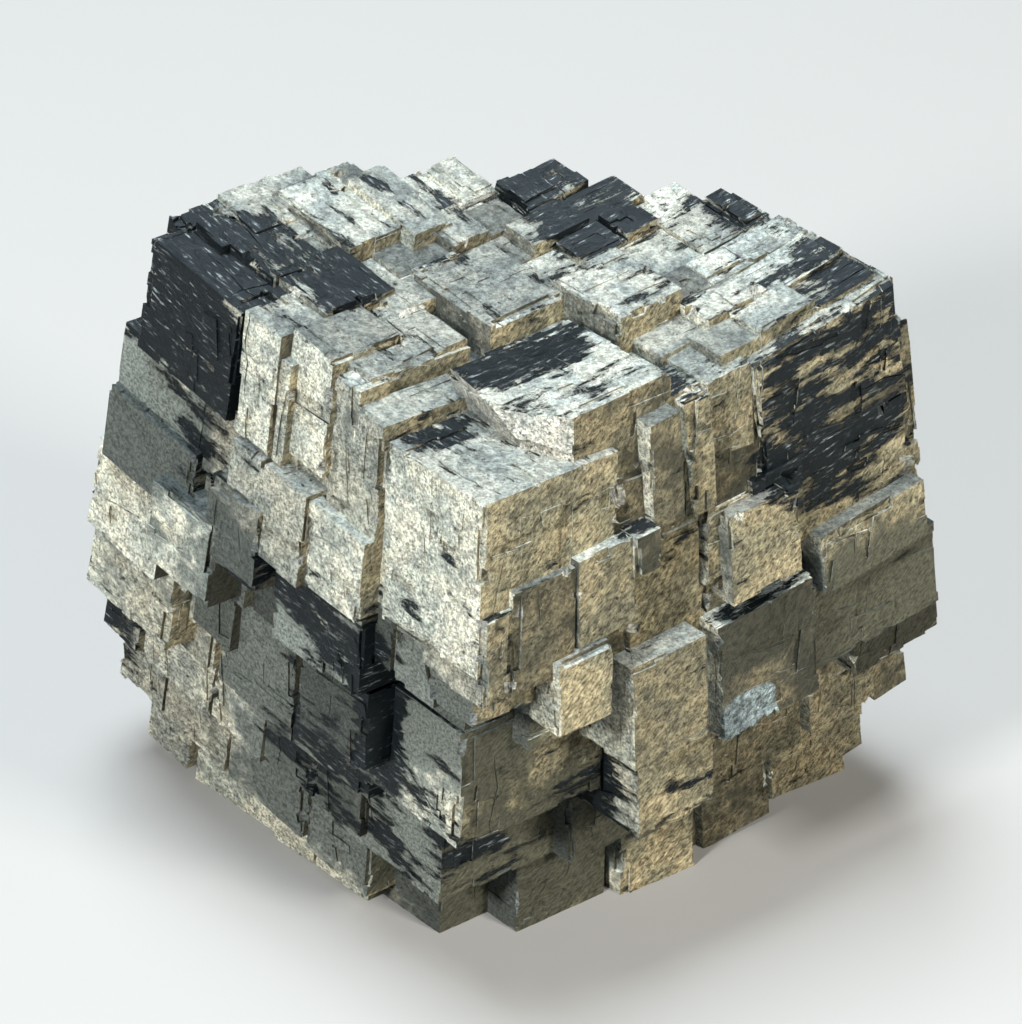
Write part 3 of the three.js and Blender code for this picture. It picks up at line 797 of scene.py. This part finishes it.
def calcite_material():
    """A pale frosted film on black glass: streaked worn patches, dull grey patches, strokes and grain, with
    painted glints and sheen in the film and painted shade in one black patch.
    """
    nodes = Nodes("calcite")
    lattice = nodes.attribute("lattice").outputs["Vector"]
    streak, cool, bare_and_shade, facet_bare_and_shade, dull, facet_dull_and_side_light = [
        nodes.attribute(name).outputs["Fac"]
        for name in ("streak", "cool", "bare_and_shade", "facet_bare_and_shade", "dull", "facet_dull_and_side_light")
    ]
    streaks = drawn_out(nodes, lattice, streak, 9, (0.28, 1.1), ((0, 0, 0), (9, 4, 2)))
    grain = fine_grain(nodes, lattice)

    # Three masks: black glass where the film is worn off, with painted shade on the dark wall, dull grey
    # film and the blue patch
    broad = nodes.noise(lattice, 0.35, 5, 0.6, shift=(31, 7, 13))
    wear_and_shade = nodes.sum((streaks, 1.0), (broad, 0.4), (grain, 0.35), (bare_and_shade, 0.42), (facet_bare_and_shade, 0.25))
    black = nodes.ramp(wear_and_shade, 1.0, 1.06)
    broad_grey = nodes.noise(lattice, 0.5, 9, 0.68, shift=(3, 41, 23))
    fade = nodes.sum((broad_grey, 1), (grain, 0.3), (dull, 0.45), (facet_dull_and_side_light, 0.3))
    grey = nodes.ramp(fade, 0.82, 0.98)
    blue = nodes.ramp(nodes.sum((cool, 1), (streaks, 0.8)), 0.85, 0.95)

    pale, dusk, blue_film = film_colours(nodes, lattice, grain)
    scratches = drawn_out(nodes, lattice, streak, 5, (0.9, 5), ((2, 8, 6), (4, 1, 9)))
    glass = nodes.mix_colour(nodes.ramp(scratches, 0.57, 0.72), GLASS_AND_SHADE, SCRATCH)
    colour = nodes.mix_colour(blue, nodes.mix_colour(grey, pale, dusk), blue_film)
    nodes.feed(nodes.shader.inputs["Base Color"], nodes.mix_colour(black, colour, glass))
    nodes.shader.inputs["Metallic"].default_value = METALLIC
    nodes.shader.inputs["Specular IOR Level"].default_value = SPECULAR
    nodes.feed(nodes.shader.inputs["Roughness"], nodes.mix(black, FILM_ROUGHNESS, GLASS_ROUGHNESS))

    relief = nodes.mix(black, nodes.mix(grey, 1.0, 0.6), 0.12)
    height = nodes.math("MULTIPLY", nodes.sum((grain, 1), (streaks, 0.6)), relief)
    bump = nodes.add("ShaderNodeBump", Strength=1.0, Distance=GRAIN_HEIGHT * MM, Height=height)
    nodes.feed(nodes.shader.inputs["Normal"], bump.outputs["Normal"])
    return nodes.material


mark(crystal.data, surface, points, faces, flat_normals)
crystal.data.validate()
crystal.data.materials.append(calcite_material())
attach(crystal, "root")
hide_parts(NODE)


# Studio

def camera():
    """The photograph's camera: the keystone's corner falls on its pixel."""
    right = np.array([1, 0, 0])
    up = np.array([0, math.sin(CAMERA_ELEVATION), math.cos(CAMERA_ELEVATION)])
    forward = np.array([0, math.cos(CAMERA_ELEVATION), -math.sin(CAMERA_ELEVATION)])
    aside = (CORNER_PIXEL[0] - PICTURE[0] / 2) / PIXELS_PER_MM
    above = (PICTURE[1] / 2 - CORNER_PIXEL[1]) / PIXELS_PER_MM
    place = front_corner - forward * CAMERA_DISTANCE - right * aside - up * above
    data = bpy.data.cameras.new("camera")
    data.sensor_width = SENSOR
    data.lens = PIXELS_PER_MM * CAMERA_DISTANCE * SENSOR / max(PICTURE)
    data.clip_start = NEAREST_SEEN
    made = bpy.data.objects.new("camera", data)
    made.location = Vector(place * MM)
    made.rotation_euler = (math.pi / 2 - CAMERA_ELEVATION, 0, 0)
    bpy.context.scene.collection.objects.link(made)
    bpy.context.scene.camera = made


def floor():
    """A plain pale floor."""
    bpy.ops.mesh.primitive_plane_add(size=FLOOR_SIZE, location=(0, 0, 0))
    made = bpy.context.object
    made.name = "floor"
    material = bpy.data.materials.new("floor")
    material.use_nodes = True
    shader = material.node_tree.nodes["Principled BSDF"]
    shader.inputs["Base Color"].default_value = FLOOR_COLOUR
    shader.inputs["Roughness"].default_value = FLOOR_ROUGHNESS
    made.data.materials.append(material)


def soft_light(name, place, size, power, colour):
    """A square soft light that looks at the crystal."""
    data = bpy.data.lights.new(name, "AREA")
    data.size = size
    data.energy = power
    data.color = colour
    made = bpy.data.objects.new(name, data)
    made.location = place
    made.rotation_euler = (LIGHT_TARGET - Vector(place)).to_track_quat("-Z", "Y").to_euler()
    bpy.context.scene.collection.objects.link(made)


def lights():
    """Three soft lights, a dim surround and an unaltered range of tones."""
    for light in LIGHTS:
        soft_light(*light)
    world = bpy.data.worlds.new("studio")
    world.use_nodes = True
    world.node_tree.nodes["Background"].inputs["Color"].default_value = SURROUND
    bpy.context.scene.world = world
    bpy.context.scene.view_settings.view_transform = "Standard"


camera()
floor()
lights()

bpy.context.view_layer.update()
